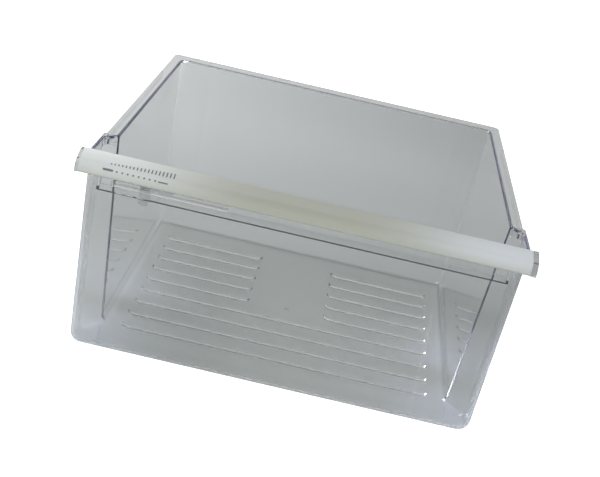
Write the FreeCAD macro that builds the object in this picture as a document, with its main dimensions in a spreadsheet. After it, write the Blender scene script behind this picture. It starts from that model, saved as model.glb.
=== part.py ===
import FreeCAD, Part
import math
import os

import Sketcher

# Fridge crisper drawer: a clear moulded pan that hangs by its side flanges, a white trim that snaps
# over the pan's handle lip, and a clear slide that opens and shuts the vents under the handle.
# Frame: +X to the right, the front faces -Y, +Z up, the origin under the middle of the drawer.

SIZES = {
    # Whole drawer
    "overall_width": 389.0,
    "overall_depth": 386.5,
    "rim_height": 187.0,
    "wall": 2.5,
    # Pan: its plan at the rim, and how far each wall leans in from there down to the floor
    "handle_reach": 25.0,
    "handle_overhang": 7.3,
    "ear_flare": 10.9,
    "flare_back": 41.5,
    "flare_length": 13.4,
    "panel_lean": 18.5,
    "ear_lean": 3.6,
    "flare_lean": 0.8,
    "side_lean": 10.0,
    "back_lean": 13.5,
    "corner_radius": 8.5,
    "crease_radius": 1.5,
    "bottom_radius": 7.5,
    "rim_round": 1.8,
    # Hanging flange with its turned-down lips
    "rear_flange": 18.0,
    "jog_step": 2.2,
    "flange_corner": 6.0,
    "lip_height": 7.0,
    "lip_wall": 2.0,
    "rear_plain": 82.0,
    # Floor ribs and the gate mark
    "rib_margin": 27.0,
    "rib_gap_half": 38.5,
    "rib_width": 16.0,
    "rib_height": 1.8,
    "rib_flank": 1.0,
    "rib_pitch": 28.2,
    "rib_front": 57.5,
    "long_ribs": 4,
    "split_ribs": 5,
    "gate_radius": 3.0,
    "gate_height": 0.4,
    # Handle lip and the trim on it, whose bottom is measured down from the rim
    "handle_depth": 19.0,
    "nose_radius": 10.5,
    "crown_radius": 48.0,
    "crown_tilt": 25.0,
    "trim_bottom": 16.3,
    "nose_rise": 2.6,
    "trim_wall": 2.0,
    "trim_clearance": 0.2,
    "trim_hook": 5.0,
    "trim_toe": 5.7,
    "trim_round": 2.0,
    "end_plate": 3.4,
    "trim_shift": 1.1,
    # Finger recess under the lip, with the height from its ledge up to the rim
    "recess_inset": 21.0,
    "ledge_height": 30.0,
    "ledge_rise": 3.5,
    # Vents, the rails beside them and the slide, which is placed from the handle's left end and with
    # its level measured up from the back of the ledge
    "vent_width": 6.5,
    "vent_height": 5.0,
    "vent_pitch": 9.0,
    "vent_count": 3,
    "rail_length": 100.0,
    "rail_wall": 1.6,
    "rail_grip": 1.4,
    "slide_inset": 55.0,
    "slide_length": 27.5,
    "slide_level": 3.0,
    "slide_height": 9.0,
    "slide_wall": 1.4,
    "slide_clearance": 0.3,
    "travel_closed": 23.2,
    "travel_open": 9.3,
    "tab_inset": 0.4,
    "tab_width": 8.8,
    "tab_wall": 2.0,
    "tab_lift": 2.0,
    "tab_reach": 7.0,
    "tab_drop": 15.0,
    "tab_round": 2.5,
    "cheek_wall": 1.4,
    "cheek_drop": 6.5,
}

doc = FreeCAD.newDocument("crisper_drawer")
sheet = doc.addObject("Spreadsheet::Sheet", "Sizes")
for row, (alias, number) in enumerate(SIZES.items(), start=1):
    sheet.set("A%d" % row, alias)
    sheet.set("B%d" % row, str(number))
    sheet.setAlias("B%d" % row, alias)
doc.recompute()


class Size:
    """A size that knows its value and the sheet expression that gives it."""

    def __init__(self, value, text):
        self.value = float(value)
        self.text = text

    @staticmethod
    def of(other):
        return other if isinstance(other, Size) else Size(other, repr(float(other)))

    def __add__(self, other):
        other = Size.of(other)
        return Size(self.value + other.value, "(%s + %s)" % (self.text, other.text))

    def __sub__(self, other):
        other = Size.of(other)
        return Size(self.value - other.value, "(%s - %s)" % (self.text, other.text))

    def __mul__(self, other):
        other = Size.of(other)
        return Size(self.value * other.value, "(%s * %s)" % (self.text, other.text))

    def __truediv__(self, other):
        other = Size.of(other)
        return Size(self.value / other.value, "(%s / %s)" % (self.text, other.text))

    def __neg__(self):
        return Size(-self.value, "(0 - %s)" % self.text)

    def root(self):
        return Size(math.sqrt(self.value), "sqrt(%s)" % self.text)

    def sine(self):
        return Size(math.sin(math.radians(self.value)), "sin(%s)" % self.text)

    def cosine(self):
        return Size(math.cos(math.radians(self.value)), "cos(%s)" % self.text)

    def slope_angle(self):
        return Size(math.degrees(math.atan(self.value)), "atan(%s)" % self.text)


def size(alias):
    """The sheet's size of that name."""
    return Size(sheet.get(alias), "Sizes.%s" % alias)


def new_body(label):
    body = doc.addObject("PartDesign::Body", label)
    body.Label = label
    return body


def origin_feature(body, role):
    return next(feature for feature in body.Origin.OriginFeatures if feature.Role == role)


def new_sketch(body, name, role, along=None, across=None):
    """A sketch on one of the body's own planes, moved along its normal and across its first axis."""
    sketch = body.newObject("Sketcher::SketchObject", name)
    sketch.AttachmentSupport = (origin_feature(body, role), [""])
    sketch.MapMode = "FlatFace"
    if along:
        sketch.setExpression("AttachmentOffset.Base.z", along.text)
    if across:
        sketch.setExpression("AttachmentOffset.Base.x", across.text)
    return sketch


def bind(sketch, kind, references, length):
    """Add a dimension and tie it to the sheet."""
    index = sketch.addConstraint(Sketcher.Constraint(kind, *references, length.value))
    sketch.setExpression("Constraints[%d]" % index, length.text)


def place_point(sketch, geometry, end, x, y):
    """Fix a point of the sketch by its distances from the sketch's origin."""
    for kind, length in (("DistanceX", x), ("DistanceY", y)):
        if length.value < 0:
            bind(sketch, kind, (geometry, end, -1, 1), -length)
        else:
            bind(sketch, kind, (-1, 1, geometry, end), length)


def arc_between(start, finish, radius):
    """Arc from start to finish, turning left for a positive radius and right for a negative one."""
    chord = finish - start
    reach = math.sqrt(max(radius * radius - chord.Length ** 2 / 4.0, 0.0))
    left = FreeCAD.Vector(-chord.y, chord.x, 0).normalize()
    centre = (start + finish) * 0.5 + left * (reach if radius > 0 else -reach)
    first, last = (start, finish) if radius > 0 else (finish, start)
    angles = [math.atan2(point.y - centre.y, point.x - centre.x) for point in (first, last)]
    circle = Part.Circle(centre, FreeCAD.Vector(0, 0, 1), abs(radius))
    return Part.ArcOfCircle(circle, angles[0], angles[1])


def profile(sketch, steps):
    """Closed outline through fixed points, each given as x, y and, where an arc leads to it, the arc's
    radius: positive for a left turn, negative for a right turn."""
    points = [FreeCAD.Vector(step[0].value, step[1].value, 0) for step in steps]
    ends = []
    for index, step in enumerate(steps):
        start, finish = points[index - 1], points[index]
        if len(step) == 2:
            geometry = sketch.addGeometry(Part.LineSegment(start, finish), False)
            ends.append((geometry, 1, 2))
        else:
            geometry = sketch.addGeometry(arc_between(start, finish, step[2].value), False)
            ends.append((geometry, 1, 2) if step[2].value > 0 else (geometry, 2, 1))
    for index, step in enumerate(steps):
        geometry, first, last = ends[index]
        following, following_first, following_last = ends[(index + 1) % len(steps)]
        sketch.addConstraint(
            Sketcher.Constraint("Coincident", geometry, last, following, following_first))
        place_point(sketch, geometry, last, step[0], step[1])
        if len(step) == 3:
            bind(sketch, "Radius", (geometry,), step[2] if step[2].value > 0 else -step[2])


def rectangle(sketch, left, right, low, high):
    profile(sketch, [(right, low), (right, high), (left, high), (left, low)])


def sweep(body, kind, name, sketch, length, symmetric=True, reverse=False):
    """Pad or Pocket of a sketch, by default half to each side of it."""
    feature = body.newObject("PartDesign::%s" % kind, name)
    feature.Profile = sketch
    feature.SideType = "Symmetric" if symmetric else "One side"
    feature.Reversed = reverse
    feature.setExpression("Length", length.text)
    doc.recompute()
    return feature


def turn(body, name, sketch):
    """Revolution of a sketch about its own vertical axis."""
    feature = body.newObject("PartDesign::Revolution", name)
    feature.Profile = sketch
    feature.ReferenceAxis = (sketch, ["V_Axis"])
    feature.Angle = 360.0
    doc.recompute()
    return feature


def pattern(body, name, originals, axis, spacing, count):
    """Copies of features in a row."""
    feature = body.newObject("PartDesign::LinearPattern", name)
    feature.Originals = originals
    feature.Direction = (origin_feature(body, axis), [""])
    feature.Mode = "Spacing"
    feature.setExpression("Offset", spacing.text)
    feature.setExpression("Occurrences", count.text)
    body.Tip = feature
    doc.recompute()
    return feature


def mirror(body, name, originals):
    """Copies of features on the other side of the drawer's middle plane."""
    feature = body.newObject("PartDesign::Mirrored", name)
    feature.Originals = originals
    feature.MirrorPlane = (origin_feature(body, "YZ_Plane"), [""])
    body.Tip = feature
    doc.recompute()
    return feature


def cut(body, name, other):
    """Take another body away from this one."""
    feature = body.newObject("PartDesign::Boolean", name)
    feature.Type = "Cut"
    feature.setObjects([other])
    doc.recompute()
    return feature


def fillet(body, name, radius, chosen):
    """Round the edges of the body's last feature that the test picks."""
    base = body.Tip
    names = ["Edge%d" % (i + 1) for i, edge in enumerate(base.Shape.Edges) if chosen(edge)]
    feature = body.newObject("PartDesign::Fillet", name)
    feature.Base = (base, names)
    feature.setExpression("Radius", radius.text)
    doc.recompute()
    return feature


NEAR = 1e-3


def lies_at(shape, height):
    """True for an edge or a face that lies flat at that height."""
    return abs(shape.BoundBox.ZMin - height.value) < NEAR and shape.BoundBox.ZLength < NEAR


def same_places(points, places):
    """True if the points, or their mirror images on the right, are at the places and leave none out."""
    targets = [FreeCAD.Vector(*(part.value for part in place)) for place in places]
    found = [FreeCAD.Vector(abs(point.x), point.y, point.z) for point in points]
    return (all(any((point - target).Length < NEAR for target in targets) for point in found)
            and all(any((point - target).Length < NEAR for point in found) for target in targets))


def same_edge(edge, other):
    """True for two edges in the same place."""
    return (edge.CenterOfMass - other.CenterOfMass).Length < NEAR and abs(edge.Length - other.Length) < NEAR


def joins(edge, start, finish):
    """True for an edge that runs between two places, or between their mirror images."""
    return same_places([vertex.Point for vertex in edge.Vertexes], [start, finish])


# Places that several pieces share
front = -size("overall_depth") / 2
rear = size("overall_depth") / 2
foot = front + size("handle_reach")
rim = size("rim_height")
wall = size("wall")
ground = wall - wall
half_width = size("overall_width") / 2
ear_half = half_width - size("handle_overhang")
front_rim_half = ear_half - wall
rim_half = front_rim_half - size("ear_flare")
flange_half = ear_half - size("jog_step")
recess_half = half_width - size("recess_inset")
back_rim = rear - size("rear_flange")
front_rim = foot + wall - size("panel_lean")
jog = foot + size("flare_back")
handle_back = front + size("handle_depth")
trim_gap = size("trim_wall") + size("trim_clearance")
lip_inset = trim_gap + wall
recess_back = handle_back - trim_gap
recess_face = recess_back - wall
hook_level = rim - size("trim_hook")
trim_bottom = rim - size("trim_bottom")
ledge = rim - size("ledge_height")
nose_depth = front + size("nose_radius")
nose_level = trim_bottom + size("nose_rise")
crown_offset = size("crown_radius") - size("nose_radius")
crown_depth = nose_depth + crown_offset * size("crown_tilt").sine()
crown_level = nose_level - crown_offset * size("crown_tilt").cosine()
slide_face = recess_face - size("slide_clearance") - size("slide_wall")
slide_level = ledge + size("ledge_rise") + size("slide_level")
slide_left = size("slide_inset") - half_width
slide_closed = slide_left - size("travel_closed")
slide_open = slide_left + size("slide_length") + size("travel_open")


def panel_face(height):
    """Depth of the leaning front panel's outer face at a height."""
    return foot - size("panel_lean") * height / rim


def crown(inset, depth):
    """Height of the handle's crown, moved in from its outer surface, at a depth."""
    radius = size("crown_radius") - inset
    run = depth - crown_depth
    return crown_level + (radius * radius - run * run).root()


def handle_curve(inset, start):
    """Crown and nose of the handle as arcs from the back to the front, moved in from its surface."""
    nose = size("nose_radius") - inset
    joint = (nose_depth - nose * size("crown_tilt").sine(), nose_level + nose * size("crown_tilt").cosine())
    return [
        (start, crown(inset, start)),
        (joint[0], joint[1], size("crown_radius") - inset),
        (front + inset, nose_level, nose),
    ]


def reversed_curve(inset, finish):
    """The same two arcs from the front to the back."""
    back, joint, nose = handle_curve(inset, finish)
    return [(nose[0], nose[1]), (joint[0], joint[1], -nose[2]), (back[0], back[1], -joint[2])]


def at_rim(shape):
    """Corners of an edge or a face that are at the rim's height."""
    return [vertex.Point for vertex in shape.Vertexes if abs(vertex.Point.z - rim.value) < NEAR]


def lean_walls(body, name, lean, places):
    """Lean the walls that hang from these places at the rim, by so much over the pan's height."""
    base = body.Tip
    faces = list(enumerate(base.Shape.Faces, start=1))
    corners = [(*place, rim) for place in places]
    walls = ["Face%d" % i for i, face in faces
             if len(at_rim(face)) == 2 and same_places(at_rim(face), corners)]
    feature = body.newObject("PartDesign::Draft", name)
    feature.Base = (base, walls)
    feature.NeutralPlane = (base, ["Face%d" % i for i, face in faces if lies_at(face, rim)])
    feature.Reversed = True
    feature.setExpression("Angle", (lean / rim).slope_angle().text)
    doc.recompute()
    return feature


def round_walls(body, name, radius, places):
    """Round the edges between walls that hang from these places at the rim."""
    ends = [(*place, rim) for place in places]
    fillet(body, name, radius,
           lambda edge: len(at_rim(edge)) == 1 and any(same_places(at_rim(edge), [end]) for end in ends))


def tub_plan(spread):
    """Right half of the pan's plan at its rim: a wide front, a flare and a narrower rear, with the
    walls' outside found by spreading their inside."""
    outward = size("ear_flare")
    along = size("flare_length")
    slant = (outward * outward + along * along).root()
    flare = jog + spread * (slant - along) / outward
    return [
        (front_rim_half + spread, front_rim - spread),
        (front_rim_half + spread, flare - along),
        (rim_half + spread, flare),
        (rim_half + spread, back_rim + spread),
    ]


def both_sides(right):
    return right + [(-x, y) for x, y in reversed(right)]


def tub_form(body, name, base, spread):
    """Form of the pan from its rim down to a base, with leaning walls, rounded corners and bottom."""
    plan = tub_plan(spread)
    outline = new_sketch(body, name + "_plan", "XY_Plane", rim)
    profile(outline, both_sides(plan))
    sweep(body, "Pad", name, outline, rim - base, symmetric=False, reverse=True)
    nose, ear, flare, heel = plan
    lean_walls(body, name + "_panel", size("panel_lean"), [nose])
    lean_walls(body, name + "_ears", size("ear_lean"), [nose, ear])
    lean_walls(body, name + "_flares", size("flare_lean"), [ear, flare])
    lean_walls(body, name + "_sides", size("side_lean"), [flare, heel])
    lean_walls(body, name + "_back", size("back_lean"), [heel])
    round_walls(body, name + "_corners", size("corner_radius") + spread, [nose, heel])
    round_walls(body, name + "_ear_creases", size("crease_radius") + spread, [ear])
    round_walls(body, name + "_flare_creases", size("crease_radius") + wall - spread, [flare])
    fillet(body, name + "_bottom", size("bottom_radius") + spread, lambda edge: lies_at(edge, base))


def build_flange(body):
    """Rim plate all round the pan, with a small step out at the ears."""
    plan = new_sketch(body, "flange_plan", "XY_Plane", rim)
    profile(plan, both_sides([
        (ear_half, handle_back),
        (ear_half, jog - size("jog_step")),
        (flange_half, jog),
        (flange_half, rear),
    ]))
    sweep(body, "Pad", "flange", plan, wall, symmetric=False, reverse=True)
    corner = ((flange_half, rear, rim - wall), (flange_half, rear, rim))
    fillet(body, "flange_corners", size("flange_corner"), lambda edge: joins(edge, *corner))


def build_flange_lips(body):
    """Lip turned down from the flange's outer edge, short of the rear, and the web at the step."""
    inner = flange_half - size("lip_wall")
    ear_inner = ear_half - size("lip_wall")
    ear_front = jog - size("flare_length")
    lip = new_sketch(body, "flange_lip_plan", "XY_Plane", rim - wall)
    profile(lip, [
        (ear_half, ear_front),
        (ear_half, jog - size("jog_step")),
        (flange_half, jog),
        (flange_half, rear - size("rear_plain")),
        (inner, rear - size("rear_plain")),
        (inner, jog),
        (ear_inner, jog - size("jog_step")),
        (ear_inner, ear_front),
    ])
    right = sweep(body, "Pad", "flange_lip", lip, size("lip_height"), symmetric=False, reverse=True)
    web = new_sketch(body, "flange_web_plan", "XY_Plane", rim - wall)
    rectangle(web, rim_half + wall / 2, inner + size("lip_wall") / 2,
              jog - size("lip_wall") / 2, jog + size("lip_wall") / 2)
    cross = sweep(body, "Pad", "flange_web", web, size("lip_height"), symmetric=False, reverse=True)
    mirror(body, "flange_lips", [right, cross])


def rib(body, name, inner, outer, depth):
    """Raised floor rib with a flat top, steep flanks and round ends, between two places across the pan."""
    half = size("rib_width") / 2
    crest = half - size("rib_flank")
    low = wall / 2
    top = wall + size("rib_height")
    ends = (inner + half, outer - half)
    section = new_sketch(body, name + "_section", "YZ_Plane", ends[0])
    profile(section, [
        (depth + half, low),
        (depth + half, wall),
        (depth + crest, top),
        (depth - crest, top),
        (depth - half, wall),
        (depth - half, low),
    ])
    features = [sweep(body, "Pad", name, section, ends[1] - ends[0], symmetric=False)]
    for index, end in enumerate(ends):
        label = "%s_end%d" % (name, index)
        round_end = new_sketch(body, label + "_section", "XZ_Plane", -depth, end)
        profile(round_end, [
            (half, low),
            (half, wall),
            (crest, top),
            (ground, top),
            (ground, low),
        ])
        features.append(turn(body, label, round_end))
    return features


def build_ribs(body):
    """Rows of floor ribs: the front ones run right across, the rear ones leave the middle free."""
    rib_half = rim_half - size("rib_margin")
    first = foot + size("rib_front")
    split = first + size("rib_pitch") * size("long_ribs")
    long_rib = rib(body, "long_rib", -rib_half, rib_half, first)
    pattern(body, "long_ribs", long_rib, "Y_Axis", size("rib_pitch"), size("long_ribs"))
    short_rib = rib(body, "right_rib", size("rib_gap_half"), rib_half, split)
    short_rib += rib(body, "left_rib", -rib_half, -size("rib_gap_half"), split)
    pattern(body, "split_ribs", short_rib, "Y_Axis", size("rib_pitch"), size("split_ribs"))
    gate = new_sketch(body, "gate_plan", "XZ_Plane", -split)
    rectangle(gate, ground, size("gate_radius"), wall / 2, wall + size("gate_height"))
    turn(body, "gate_mark", gate)


def build_handle_lip(body):
    """Lip across the front, the seat that its trim snaps onto and the finger recess under it."""
    recess_wall = new_sketch(body, "recess_wall_section", "YZ_Plane")
    knee = ledge - wall
    profile(recess_wall, [
        (panel_face(knee) + wall / 2, knee),
        (recess_back, knee + size("ledge_rise")),
        (recess_back, rim),
        (panel_face(rim) + wall / 2, rim),
    ])
    sweep(body, "Pad", "recess_wall", recess_wall, (recess_half + wall) * 2)

    lip = new_sketch(body, "handle_lip_section", "YZ_Plane")
    profile(lip, [
        *handle_curve(ground, handle_back),
        (front, trim_bottom),
        (front + lip_inset, trim_bottom),
        *reversed_curve(lip_inset, handle_back),
    ])
    sweep(body, "Pad", "handle_lip", lip, size("overall_width"))

    seat = new_sketch(body, "trim_seat_section", "YZ_Plane", -size("trim_shift"))
    clearance = size("trim_clearance")
    profile(seat, [
        (recess_back, hook_level - clearance),
        *handle_curve(trim_gap, recess_back),
        (front + trim_gap, trim_bottom + trim_gap),
        (front + size("trim_toe") + clearance, trim_bottom + trim_gap),
        (front + size("trim_toe") + clearance, trim_bottom - wall),
        (front - wall, trim_bottom - wall),
        (front - wall, rim + wall),
        (handle_back + clearance, rim + wall),
        (handle_back + clearance, hook_level - clearance),
    ])
    sweep(body, "Pocket", "trim_seat", seat, size("overall_width") - size("end_plate") * 2)

    recess = new_sketch(body, "recess_section", "YZ_Plane")
    profile(recess, [
        (panel_face(ledge), ledge),
        (recess_face, ledge + size("ledge_rise")),
        *handle_curve(lip_inset, recess_face),
        (front + lip_inset, trim_bottom - wall),
    ])
    sweep(body, "Pocket", "recess", recess, recess_half * 2)


def build_vents(body):
    """Vents through the recess wall, where the shut slide covers them, with the two rails that hold
    the slide and the stops at the ends of its travel."""
    row = size("vent_pitch") * (size("vent_count") - 1) + size("vent_width")
    first = slide_closed + (size("slide_length") - row) / 2
    low = slide_level + (size("slide_height") - size("vent_height")) / 2
    slot = new_sketch(body, "vent_outline", "XZ_Plane", -recess_face)
    rectangle(slot, first, first + size("vent_width"), low, low + size("vent_height"))
    vent = sweep(body, "Pocket", "vent", slot, wall * 2)
    pattern(body, "vents", [vent], "X_Axis", size("vent_pitch"), size("vent_count"))

    clearance = size("slide_clearance")
    rail_wall = size("rail_wall")
    lip_back = slide_face - clearance
    lip_front = lip_back - rail_wall
    seat = recess_face + wall / 2
    floor = slide_level - clearance
    ceiling = slide_level + size("slide_height") + clearance
    shut_stop = slide_closed - clearance
    open_stop = slide_open + clearance
    rail_start = shut_stop - rail_wall
    lower = new_sketch(body, "lower_rail_section", "YZ_Plane", rail_start)
    profile(lower, [
        (lip_front, floor - rail_wall),
        (seat, floor - rail_wall),
        (seat, floor),
        (lip_back, floor),
        (lip_back, floor + size("rail_grip")),
        (lip_front, floor + size("rail_grip")),
    ])
    sweep(body, "Pad", "lower_rail", lower, size("rail_length"), symmetric=False)
    upper = new_sketch(body, "upper_rail_section", "YZ_Plane", rail_start)
    profile(upper, [
        (lip_front, ceiling - size("rail_grip")),
        (lip_back, ceiling - size("rail_grip")),
        (lip_back, ceiling),
        (seat, ceiling),
        (seat, ceiling + rail_wall),
        (lip_front, ceiling + rail_wall),
    ])
    sweep(body, "Pad", "upper_rail", upper, size("rail_length"), symmetric=False)
    stops = new_sketch(body, "stop_outlines", "XZ_Plane", -slide_face)
    rectangle(stops, rail_start, shut_stop, floor, ceiling)
    rectangle(stops, open_stop, open_stop + rail_wall, floor, ceiling)
    sweep(body, "Pad", "slide_stops", stops, seat - slide_face, symmetric=False, reverse=True)


def build_pan():
    """One clear moulding: tub, flange, floor ribs, handle lip and vents."""
    inside = new_body("inside")
    tub_form(inside, "hollow", wall, ground)
    body = new_body("crisper_pan")
    tub_form(body, "tub", ground, wall)
    build_flange(body)
    cut(body, "hollowed", inside)
    fillet(body, "rim_rounding", size("rim_round"),
           lambda edge: any(same_edge(edge, other) for other in inside.Shape.Edges if lies_at(other, rim)))
    build_flange_lips(body)
    build_ribs(body)
    build_handle_lip(body)
    build_vents(body)
    return body


def build_trim():
    """White cover of the handle lip, with a hook behind it and a toe under its front edge."""
    body = new_body("handle_trim")
    thickness = size("trim_wall")
    section = new_sketch(body, "trim_section", "YZ_Plane", -size("trim_shift"))
    profile(section, [
        (handle_back, hook_level),
        *handle_curve(ground, handle_back),
        (front, trim_bottom + size("trim_round")),
        (front + size("trim_round"), trim_bottom, size("trim_round")),
        (front + size("trim_toe"), trim_bottom),
        (front + size("trim_toe"), trim_bottom + thickness),
        (front + thickness, trim_bottom + thickness),
        *reversed_curve(thickness, handle_back - thickness),
        (handle_back - thickness, hook_level),
    ])
    length = size("overall_width") - (size("end_plate") + size("trim_clearance")) * 2
    sweep(body, "Pad", "trim", section, length)
    return body


def build_slide():
    """Clear shutter strip with a finger tab that comes forward over the lower rail and hangs down, with
    a cheek behind each side of it."""
    body = new_body("humidity_slide")
    strip = new_sketch(body, "strip_outline", "XZ_Plane", -slide_face)
    rectangle(strip, slide_left, slide_left + size("slide_length"),
              slide_level, slide_level + size("slide_height"))
    sweep(body, "Pad", "strip", strip, size("slide_wall"), symmetric=False, reverse=True)
    arm = slide_level + size("tab_lift")
    tip = slide_face - size("tab_reach")
    tab_left = slide_left + size("tab_inset")
    tab = new_sketch(body, "tab_section", "YZ_Plane", tab_left)
    profile(tab, [
        (slide_face + size("slide_wall") / 2, arm),
        (slide_face + size("slide_wall") / 2, arm + size("tab_wall")),
        (tip + size("tab_wall"), arm + size("tab_wall")),
        (tip, arm, size("tab_wall")),
        (tip, arm + size("tab_wall") - size("tab_drop")),
        (tip + size("tab_wall"), arm + size("tab_wall") - size("tab_drop")),
        (tip + size("tab_wall"), arm),
    ])
    sweep(body, "Pad", "tab", tab, size("tab_width"), symmetric=False)
    bottom = arm + size("tab_wall") - size("tab_drop")
    corners = [[(-x, y, bottom) for y in (tip, tip + size("tab_wall"))]
               for x in (tab_left, tab_left + size("tab_width"))]
    fillet(body, "tab_end", size("tab_round"), lambda edge: any(joins(edge, *corner) for corner in corners))
    cheek_back = slide_face - size("rail_wall") - size("slide_clearance") * 2
    right_cheek = tab_left + size("tab_width") - size("cheek_wall")
    for name, left in (("left_cheek", tab_left), ("right_cheek", right_cheek)):
        cheek = new_sketch(body, name + "_section", "YZ_Plane", left)
        rectangle(cheek, tip + size("tab_wall") / 2, cheek_back,
                  arm - size("cheek_drop"), arm + size("tab_wall") / 2)
        sweep(body, "Pad", name, cheek, size("cheek_wall"), symmetric=False)
    return body


bodies = [build_pan(), build_trim(), build_slide()]
doc.recompute()
failed = [item.Name for item in doc.Objects if "Invalid" in item.State or "Error" in item.State]
if failed:
    raise RuntimeError("features that failed: " + ", ".join(failed))
os.makedirs("parts", exist_ok=True)
for body in bodies:
    shape = body.Shape
    if shape.isNull() or not shape.isValid() or len(shape.Solids) != 1:
        raise RuntimeError("no sound solid for " + body.Label)
    print(body.Label, "volume", round(shape.Volume), "mm3, box", shape.BoundBox)
for body in bodies:
    body.Shape.exportStep("parts/%s.step" % body.Label)
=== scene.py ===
# %% [markdown]
# A clear drawer for fruit and vegetables, as it slides into the bottom of a fridge. The exact model
# brings three pieces: the clear pan, the white trim on its handle and the small clear slide that opens
# the vents. This lesson gives them their plastics, prints the marks on the trim, and sets up the light
# and the camera.

import math

import bpy
import numpy as np
from mathutils import Matrix, Vector


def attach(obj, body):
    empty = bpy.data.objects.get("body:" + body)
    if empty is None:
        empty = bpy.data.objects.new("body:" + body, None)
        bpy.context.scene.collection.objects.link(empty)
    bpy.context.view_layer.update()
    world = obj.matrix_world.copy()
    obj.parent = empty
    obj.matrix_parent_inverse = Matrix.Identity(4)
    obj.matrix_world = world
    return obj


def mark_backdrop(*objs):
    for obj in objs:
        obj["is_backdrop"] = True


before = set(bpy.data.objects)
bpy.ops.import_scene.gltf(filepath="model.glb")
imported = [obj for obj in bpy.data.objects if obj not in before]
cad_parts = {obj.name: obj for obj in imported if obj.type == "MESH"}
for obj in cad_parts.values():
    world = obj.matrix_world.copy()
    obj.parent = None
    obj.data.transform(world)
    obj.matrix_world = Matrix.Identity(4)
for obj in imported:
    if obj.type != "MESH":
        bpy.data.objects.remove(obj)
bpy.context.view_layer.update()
MM = 0.001
print("pieces from the exact model:", sorted(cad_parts))

# %% [markdown]
# The camera stands a good metre in front of the drawer and looks down at it with a long lens. The
# picture is also turned: level edges run downhill to the right. So the camera's own axes are worked
# out from three angles, and its matrix is written directly instead of turning it by hand.

# %% Camera
IMAGE_WIDTH = 600
FOCAL_PIXELS = 1182.4
SENSOR_WIDTH = 36.0
CAMERA_PLACE = Vector((5.4, -1098.25, 518.0)) * MM
LOOK_DOWN = math.radians(21.7)
LOOK_LEFT = math.radians(0.4)
PICTURE_TURN = math.radians(12.9)

level_right = Vector((math.cos(LOOK_LEFT), math.sin(LOOK_LEFT), 0.0))
level_ahead = Vector((-math.sin(LOOK_LEFT), math.cos(LOOK_LEFT), 0.0))
upward = Vector((0.0, 0.0, 1.0))
ahead = level_ahead * math.cos(LOOK_DOWN) - upward * math.sin(LOOK_DOWN)
picture_up = level_ahead * math.sin(LOOK_DOWN) + upward * math.cos(LOOK_DOWN)
camera_x = level_right * math.cos(PICTURE_TURN) + picture_up * math.sin(PICTURE_TURN)
camera_y = picture_up * math.cos(PICTURE_TURN) - level_right * math.sin(PICTURE_TURN)
lens = bpy.data.cameras.new("studio_lens")
lens.sensor_width = SENSOR_WIDTH
lens.lens = FOCAL_PIXELS / IMAGE_WIDTH * SENSOR_WIDTH
camera = bpy.data.objects.new("studio_camera", lens)
camera_turn = Matrix((camera_x, camera_y, -ahead)).transposed().to_4x4()
camera.matrix_world = Matrix.Translation(CAMERA_PLACE) @ camera_turn
bpy.context.scene.collection.objects.link(camera)
bpy.context.scene.camera = camera
print("lens %.1f mm, %.2f m from the origin" % (lens.lens, CAMERA_PLACE.length))

# %% [markdown]
# A finish is a tree of shader nodes. It could be drawn in the node editor, but a script is easier to
# read and to change. Two small classes keep the trees readable: a Wire is an output that can be added
# and multiplied in plain Python, and a Finish is a material whose one method adds any node with its
# settings and the values or wires of its sockets.

# %% Shader helpers
class Wire:
    """An output socket whose operators add Math nodes."""

    def __init__(self, finish, socket):
        self.finish = finish
        self.socket = socket

    def maths(self, operation, first, second):
        return self.finish.add("ShaderNodeMath", {"operation": operation}, {0: first, 1: second})

    def __add__(self, other):
        return self.maths("ADD", self, other)

    def __radd__(self, other):
        return self.maths("ADD", other, self)

    def __mul__(self, other):
        return self.maths("MULTIPLY", self, other)

    def __rmul__(self, other):
        return self.maths("MULTIPLY", other, self)


class Finish:
    """A material that is built up node by node."""

    def __init__(self, name):
        self.material = bpy.data.materials.new(name)
        self.material.use_nodes = True
        self.tree = self.material.node_tree
        self.tree.nodes.clear()
        self.output = self.tree.nodes.new("ShaderNodeOutputMaterial")

    def feed(self, socket, value):
        if isinstance(value, Wire):
            self.tree.links.new(value.socket, socket)
        else:
            socket.default_value = value

    def add(self, kind, settings=None, inputs=None, output=0):
        """A node of that kind: settings first, then the values or wires of its sockets."""
        node = self.tree.nodes.new(kind)
        for name, value in (settings or {}).items():
            setattr(node, name, value)
        for name, value in (inputs or {}).items():
            self.feed(node.inputs[name], value)
        return Wire(self, node.outputs[output])

    def close(self, surface, volume=None):
        self.feed(self.output.inputs["Surface"], surface)
        if volume:
            self.feed(self.output.inputs["Volume"], volume)
        return self.material


def dress(piece, material):
    """Give a piece one material."""
    piece.data.materials.clear()
    piece.data.materials.append(material)


# %% [markdown]
# The pan and its slide are moulded from clear polystyrene. Light bends in it as in glass, and a long
# way through it, as along an edge, comes out dark and a little purple. That is a volume that absorbs
# light, not a colour on the surface. Fine scratches from use are a faint change in roughness. A lamp's
# shadow rays pass straight through with a tone of their own, because bent ones would take far too many
# samples. The slide is handled more, so it gets more haze, and its tint is a darker grey than the pan's.

# %% Clear polystyrene
POLYSTYRENE_IOR = 1.59
EDGE_TONE = (0.25, 0.18, 0.65, 1.0)
EDGE_DENSITY = 1.3
SHADOW_TONE = (0.735, 0.745, 0.745, 1.0)


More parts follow.
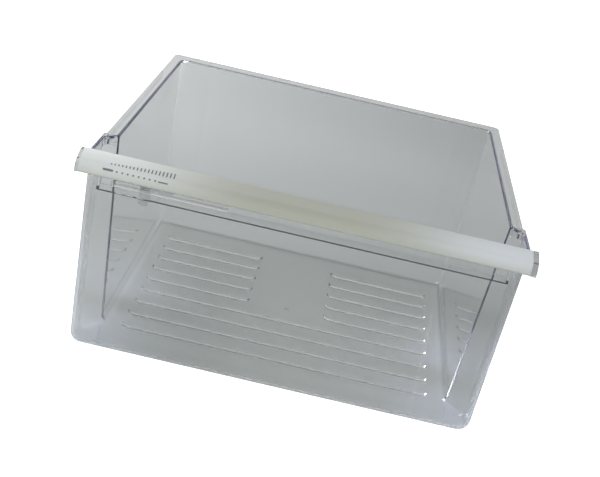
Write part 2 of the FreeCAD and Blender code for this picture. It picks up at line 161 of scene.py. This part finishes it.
def clear_plastic(name, tint, haze):
    """Clear plastic with a slight grey body colour and worn, faintly uneven gloss."""
    finish = Finish(name)
    place = finish.add("ShaderNodeTexCoord", output="Object")
    wear = finish.add("ShaderNodeTexNoise", inputs={"Vector": place, "Scale": 60.0, "Detail": 5.0})
    flow = finish.add("ShaderNodeTexNoise", inputs={"Vector": place, "Scale": 14.0, "Detail": 2.0})
    ripple = finish.add("ShaderNodeBump", inputs={"Height": flow, "Strength": 0.03, "Distance": 0.002})
    shell = finish.add("ShaderNodeBsdfPrincipled", inputs={
        "Base Color": tint,
        "Roughness": wear * haze,
        "IOR": POLYSTYRENE_IOR,
        "Transmission Weight": 1.0,
        "Normal": ripple,
    })
    see_through = finish.add("ShaderNodeBsdfTransparent", inputs={"Color": SHADOW_TONE})
    shadow_ray = finish.add("ShaderNodeLightPath", output="Is Shadow Ray")
    surface = finish.add("ShaderNodeMixShader", inputs={0: shadow_ray, 1: shell, 2: see_through})
    body = finish.add("ShaderNodeVolumeAbsorption", inputs={"Color": EDGE_TONE, "Density": EDGE_DENSITY})
    return finish.close(surface, body)


clear_pan = clear_plastic("clear_pan_plastic", (0.925, 0.93, 0.92, 1.0), 0.02)
clear_slide = clear_plastic("clear_slide_plastic", (0.78, 0.79, 0.79, 1.0), 0.06)
dress(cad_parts["crisper_pan"], clear_pan)
dress(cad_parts["humidity_slide"], clear_slide)
print("clear pieces:", clear_pan.name, clear_slide.name)

# %% [markdown]
# The trim is white polystyrene with a soft satin gloss. One plain colour would look like paper, so two
# close tones are mixed by a slow noise, which also makes the gloss a little uneven, as on moulded
# covers. A fine bump stands for the grain of the mould.

# %% White trim
def white_plastic(name):
    """White satin plastic with a fine moulded grain."""
    finish = Finish(name)
    place = finish.add("ShaderNodeTexCoord", output="Object")
    grain = finish.add("ShaderNodeTexNoise", inputs={"Vector": place, "Scale": 900.0, "Detail": 2.0})
    cloud = finish.add("ShaderNodeTexNoise", inputs={"Vector": place, "Scale": 9.0, "Detail": 3.0})
    tone = finish.add("ShaderNodeMix", {"data_type": "RGBA"}, {
        "Factor": cloud, "A": (0.60, 0.62, 0.55, 1.0), "B": (0.63, 0.645, 0.58, 1.0)}, output="Result")
    ripple = finish.add("ShaderNodeBump", inputs={"Height": grain, "Strength": 0.05, "Distance": 0.0005})
    shell = finish.add("ShaderNodeBsdfPrincipled", inputs={
        "Base Color": tone,
        "Roughness": 0.30 + cloud * 0.1,
        "IOR": POLYSTYRENE_IOR,
        "Normal": ripple,
    })
    return finish.close(shell)


white_trim = white_plastic("white_trim_plastic")
dress(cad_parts["handle_trim"], white_trim)
print("trim:", white_trim.name)

# %% [markdown]
# Grey marks are printed on the trim above the slide. A printed mark follows the surface it lies on. An
# image could hold the marks, but a thin surface stays sharp at any distance. So the marks are drawn flat
# and then laid onto the trim, whose section is two arcs that meet without a kink: a small one round the
# nose and a wide one over the crown.

# %% The trim's section
NOSE_DEPTH, NOSE_LEVEL, NOSE_RADIUS = -182.75, 173.3, 10.5
CROWN_RADIUS = 48.0
CROWN_START = math.radians(65.0)


def on_trim(across, run, lift):
    """Points on the trim: run is the way along its section, first round the nose from its foremost line
    and from CROWN_START on round the wider crown, and lift stands off along the surface's normal."""
    nose_turn = np.minimum(run / NOSE_RADIUS, CROWN_START)
    crown_turn = np.maximum(run - NOSE_RADIUS * CROWN_START, 0.0) / CROWN_RADIUS
    turn = nose_turn + crown_turn
    on_crown = crown_turn > 0.0
    radius = np.where(on_crown, CROWN_RADIUS, NOSE_RADIUS)
    step = np.where(on_crown, CROWN_RADIUS - NOSE_RADIUS, 0.0)
    depth = NOSE_DEPTH + step * math.cos(CROWN_START) - (radius + lift) * np.cos(turn)
    level = NOSE_LEVEL - step * math.sin(CROWN_START) + (radius + lift) * np.sin(turn)
    return np.stack(np.broadcast_arrays(across, depth, level), axis=-1)


print("the nose goes over into the crown after %.1f mm" % (NOSE_RADIUS * CROWN_START))

# %% [markdown]
# Each mark is a bar with round ends, and a dot is such a bar without a length. A bar is built from rows
# across it, closer together at its two ends, so that it bends with the trim. All marks are worked out
# together as one array: marks by rows by the two ends of a row.

# %% Marks as rows
ROWS = 9
LAST_ROW = 0.48
INK_LIFT = 0.05


def printed_marks(marks):
    """Round-ended bars on the trim: each mark gives its middle, its half lengths and its end radius. A row
    at height v is as wide as the half length plus the root of radius squared less the overrun squared."""
    middle, middle_run, half, half_run, radius = marks.T[:, :, None]
    spread = np.sin(np.linspace(-LAST_ROW, LAST_ROW, ROWS) * math.pi)[None, :]
    height = spread * (half_run + radius)
    overrun = np.maximum(np.abs(height) - half_run, 0.0)
    width = half + np.sqrt(np.maximum(radius * radius - overrun * overrun, 0.0))
    across = np.stack([middle - width, middle + width], axis=-1)
    points = on_trim(across, (middle_run + height)[:, :, None], INK_LIFT)
    start = (np.arange(len(marks))[:, None] * ROWS + np.arange(ROWS - 1)[None, :]) * 2
    faces = np.stack([start, start + 1, start + 3, start + 2], axis=-1)
    mesh = bpy.data.meshes.new("printed_marks")
    mesh.from_pydata((points.reshape(-1, 3) * MM).tolist(), [], faces.reshape(-1, 4).tolist())
    piece = bpy.data.objects.new("printed_marks", mesh)
    bpy.context.scene.collection.objects.link(piece)
    return piece


# %% [markdown]
# The ink is grey and matt, and a little thinner in places. A flat grey would do from afar, but close up
# a fine noise between two greys looks more like print.

# %% Grey ink
def grey_ink(name):
    """Matt printed ink, a little thinner in places."""
    finish = Finish(name)
    place = finish.add("ShaderNodeTexCoord", output="Object")
    cover = finish.add("ShaderNodeTexNoise", inputs={"Vector": place, "Scale": 1500.0, "Detail": 2.0})
    tone = finish.add("ShaderNodeMix", {"data_type": "RGBA"}, {
        "Factor": cover, "A": (0.13, 0.14, 0.135, 1.0), "B": (0.21, 0.22, 0.215, 1.0)}, output="Result")
    shell = finish.add("ShaderNodeBsdfPrincipled", inputs={
        "Base Color": tone,
        "Roughness": 0.45 + cover * 0.2,
    })
    return finish.close(shell)


ink = grey_ink("grey_ink")
print("ink:", ink.name)

# %% [markdown]
# The marks are a row of dots for the settings of the slide, a thick and a thin bar at the ends of the
# row, and over it a wedge of strokes that grow to the right. Each one is a line of five numbers in
# millimetres: its middle across and along the section, its two half lengths and its end radius. They
# could be placed one by one, but rows of numbers are quicker to change. They ride on the drawer, as the
# trim does.

# %% Printed marks
STROKES = 18
WEDGE_LEFT, WEDGE_LENGTH, WEDGE_RUN, WEDGE_CLIMB = -165.4, 52.6, 11.0, 2.4
SHORTEST_STROKE, STROKE_RADIUS = 0.3, 0.6
DOTS = 8
FIRST_DOT, LAST_DOT, DOT_RUN, DOT_RADIUS = -159.4, -127.1, 4.9, 0.85
THICK_BAR = (-166.9, 5.1, 3.5, 0.0, 1.0)
THIN_BAR = (-120.5, 4.6, 3.6, 0.0, 0.6)

climb = np.linspace(0.0, 1.0, STROKES)
still = np.zeros(STROKES)
strokes = np.stack([
    WEDGE_LEFT + WEDGE_LENGTH * climb,
    WEDGE_RUN + WEDGE_CLIMB * climb,
    still,
    SHORTEST_STROKE + WEDGE_CLIMB * climb,
    still + STROKE_RADIUS,
], axis=-1)
row = np.linspace(FIRST_DOT, LAST_DOT, DOTS)
point = np.zeros(DOTS)
dots = np.stack([row, point + DOT_RUN, point, point, point + DOT_RADIUS], axis=-1)
bars = np.array([THICK_BAR, THIN_BAR])
marks = printed_marks(np.concatenate([strokes, dots, bars]))
dress(marks, ink)
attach(marks, "drawer")
print("printed marks:", len(marks.data.polygons), "faces")

# %% [markdown]
# The drawer stands on a wide sheet of pale paper, which goes out to the horizon. Clear plastic shows
# what is around it, so the paper is left grey for the light that passes through the drawer, and only
# where the camera looks at it directly is it bleached to white by a glow. It lies a hair below the
# drawer, because two faces in one plane would flicker.

# %% Paper floor
FLOOR_REACH = 12.0
FLOOR_LEVEL = -0.4 * MM


def studio_floor():
    """A wide level plane under the drawer: the four corners of a square, all at one level."""
    square = np.array([(-1.0, -1.0), (1.0, -1.0), (1.0, 1.0), (-1.0, 1.0)]) * FLOOR_REACH
    corners = np.column_stack([square, np.full(len(square), FLOOR_LEVEL)])
    mesh = bpy.data.meshes.new("studio_floor")
    mesh.from_pydata(corners.tolist(), [], [(0, 1, 2, 3)])
    floor = bpy.data.objects.new("studio_floor", mesh)
    bpy.context.scene.collection.objects.link(floor)
    finish = Finish("pale_floor")
    paper = finish.add("ShaderNodeBsdfDiffuse", inputs={"Color": (0.66, 0.68, 0.69, 1.0)})
    glow = finish.add("ShaderNodeEmission", inputs={"Strength": 0.9})
    bleached = finish.add("ShaderNodeAddShader", inputs={0: paper, 1: glow})
    camera_ray = finish.add("ShaderNodeLightPath", output="Is Camera Ray")
    shell = finish.add("ShaderNodeMixShader", inputs={0: camera_ray, 1: paper, 2: bleached})
    dress(floor, finish.close(shell))
    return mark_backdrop(floor)


studio_floor()
print("floor: %.0f m wide" % (FLOOR_REACH * 2))

# %% [markdown]
# Six lamps make the picture. The one at the back left lights the paper that shows through the walls, so
# the drawer is brighter on its left. The far and the top lamp are wide and dim. They are there to be seen
# in the rim and in the creases, which would be black without them. A strip in front lights the trim and
# the paper before the drawer. It could be left in the reflections too, but then it draws a white line on
# each floor rib, and real ribs look dark, so the plastic doesn't show it. Two narrow lamps with a bluish
# light brighten the ends of the trim.

# %% Lamps
NARROW_CONE = math.radians(20.0)
NARROW_SOURCE = 0.05
WHITE = (1.0, 1.0, 1.0)


def hang(name, lamp, place, aim, power, colour):
    """A lamp at a place, turned to a point."""
    lamp.energy = power
    lamp.color = colour
    light = bpy.data.objects.new(name, lamp)
    turn = (Vector(aim) - Vector(place)).to_track_quat("-Z", "Y")
    light.matrix_world = Matrix.Translation(place) @ turn.to_matrix().to_4x4()
    bpy.context.scene.collection.objects.link(light)
    return light


def soft_light(name, size, **hung):
    """A wide lamp with its width and height."""
    lamp = bpy.data.lights.new(name, "AREA")
    lamp.shape = "RECTANGLE"
    lamp.size, lamp.size_y = size
    return hang(name, lamp, **hung)


def end_light(name, **hung):
    """A narrow lamp with a soft edge, for one end of the trim."""
    lamp = bpy.data.lights.new(name, "SPOT")
    lamp.spot_size = NARROW_CONE
    lamp.spot_blend = 1.0
    lamp.shadow_soft_size = NARROW_SOURCE
    return hang(name, lamp, **hung)


soft_light("back_light", (0.8, 0.8), place=(-0.9, 0.9, 1.0), aim=(-0.45, 0.6, 0.0), power=13.5,
           colour=(0.98, 0.99, 1.0))
soft_light("far_light", (2.4, 0.7), place=(0.0, 1.6, 0.85), aim=(0.0, 0.0, 0.2), power=2.4, colour=WHITE)
soft_light("top_light", (1.5, 0.5), place=(0.0, 0.25, 1.1), aim=(0.0, 0.2, 0.0), power=1.0, colour=WHITE)
strip = soft_light("front_light", (1.2, 0.08), place=(-0.1, -0.75, 0.45), aim=(-0.1, -0.3, 0.0), power=2.55,
                   colour=(1.0, 0.99, 0.93))
strip.visible_glossy = False
strip.visible_transmission = False
end_light("left_light", place=(0.0, -0.55, 0.75), aim=(-0.19, -0.19, 0.18), power=11.5,
          colour=(0.72, 0.76, 1.0))
end_light("right_light", place=(0.0, -0.55, 0.75), aim=(0.19, -0.19, 0.18), power=11.8,
          colour=(0.64, 0.68, 1.0))
print("lamps:", [light.name for light in bpy.data.lights])

# %% [markdown]
# A dim even sky fills the rest. The number of bounces matters more for a clear moulding than for any
# other piece: its walls and edges guide light a long way, and a path that is cut short comes out black.
# So paths may be far longer than usual.

# %% Sky and light paths
LONGEST_PATH = 200
LAYERS_IN_SHADOW = 24

sky = bpy.data.worlds.new("studio_sky")
sky.use_nodes = True
background = sky.node_tree.nodes["Background"].inputs
background["Color"].default_value = (0.97, 1.0, 1.0, 1.0)
background["Strength"].default_value = 0.17
bpy.context.scene.world = sky
bpy.context.scene.view_settings.view_transform = "Standard"
paths = bpy.context.scene.cycles
paths.max_bounces = LONGEST_PATH
paths.transmission_bounces = LONGEST_PATH
paths.glossy_bounces = LONGEST_PATH
paths.transparent_max_bounces = LAYERS_IN_SHADOW
print("longest light path:", paths.max_bounces)
